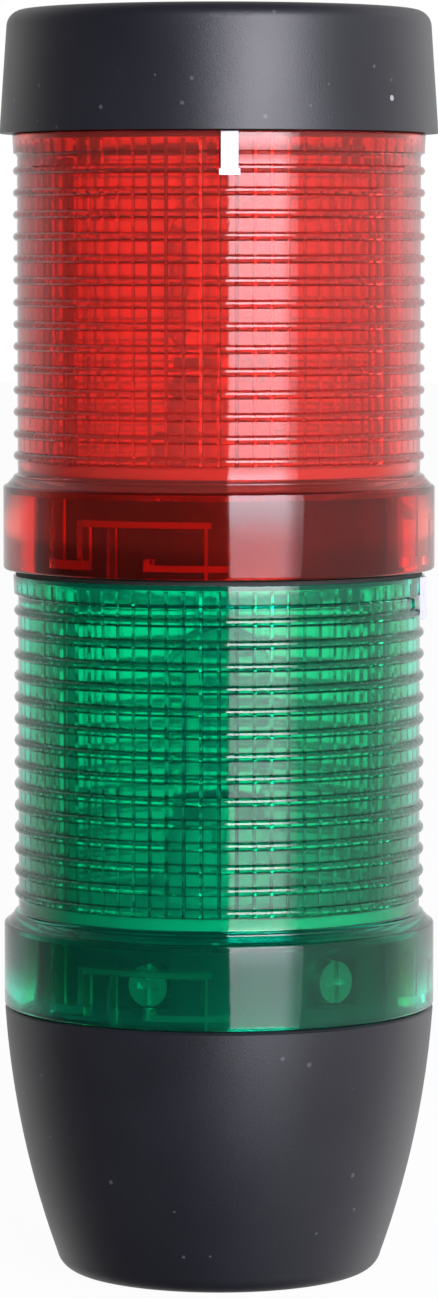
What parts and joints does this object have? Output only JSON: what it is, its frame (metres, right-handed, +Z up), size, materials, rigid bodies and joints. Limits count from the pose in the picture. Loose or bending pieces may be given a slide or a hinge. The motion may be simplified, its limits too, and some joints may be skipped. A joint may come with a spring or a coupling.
{
  "type": "stack light",
  "caption": "Stack light with a red unit over a green unit on a tapered black base, each turned on a bayonet and closed by a black cap; a tube plugs in from below.",
  "frame": {"origin": "centre of the base's bottom face, on the axis of the stack", "axes": "+Z up along the stack, -Y towards the front (the side with the red unit's white index mark), +X to the right"},
  "size_m": [0.0709, 0.0708, 0.2047],
  "materials": {
    "black_plastic": "satin, finely textured",
    "red_lens": "glossy clear red plastic",
    "green_lens": "glossy clear green plastic",
    "white_mark": "smooth",
    "carrier_plastic": "plain white",
    "seal_rubber": "matte",
    "brass": "plain",
    "plated_steel": "zinc plated",
    "lamp_glass": "clear"
  },
  "bodies": {
    "base": {"base_housing": "black_plastic", "clamp_insert": "brass", "tube_clamp_screw": "plated_steel", "terminal_ring": "black_plastic", "base_seal": "seal_rubber", "terminal_screw_1": "plated_steel", "terminal_screw_2": "plated_steel", "terminal_screw_3": "plated_steel", "terminal_screw_4": "plated_steel", "terminal_screw_5": "plated_steel", "terminal_screw_6": "plated_steel", "terminal_strip_1": "brass", "terminal_strip_2": "brass", "terminal_strip_3": "brass", "terminal_strip_4": "brass", "terminal_strip_5": "brass", "terminal_strip_6": "brass", "ring_screw_1": "plated_steel", "ring_screw_2": "plated_steel", "ring_screw_3": "plated_steel"},
    "green_unit": {"green_lens": "green_lens", "green_index_mark": "white_mark", "green_lamp_carrier": "carrier_plastic", "green_coupling": "black_plastic", "green_seal": "seal_rubber", "green_lamp_socket": "carrier_plastic", "green_lamp_base": "brass", "green_lamp_bulb": "lamp_glass", "green_conductor_1": "brass", "green_conductor_2": "brass", "green_conductor_3": "brass", "green_conductor_4": "brass", "green_conductor_5": "brass", "green_conductor_6": "brass"},
    "red_unit": {"red_lens": "red_lens", "red_index_mark": "white_mark", "red_lamp_carrier": "carrier_plastic", "red_coupling": "black_plastic", "red_seal": "seal_rubber", "red_lamp_socket": "carrier_plastic", "red_lamp_base": "brass", "red_lamp_bulb": "lamp_glass", "red_conductor_1": "brass", "red_conductor_2": "brass", "red_conductor_3": "brass", "red_conductor_4": "brass", "red_conductor_5": "brass", "red_conductor_6": "brass"},
    "cap": {"cap": "black_plastic"}
  },
  "joints": [
    {"name": "green_unit_twist", "type": "hinge", "parent": "base", "child": "green_unit", "pos_m": [0, 0, 0.0436], "axis": [0, 0, 1], "range_deg": [0, 17]},
    {"name": "red_unit_twist", "type": "hinge", "parent": "green_unit", "child": "red_unit", "pos_m": [0, 0, 0.1146], "axis": [0, 0, 1], "range_deg": [0, 17]},
    {"name": "cap_twist", "type": "hinge", "parent": "red_unit", "child": "cap", "pos_m": [0, 0, 0.1856], "axis": [0, 0, 1], "range_deg": [0, 17]}
  ]
}
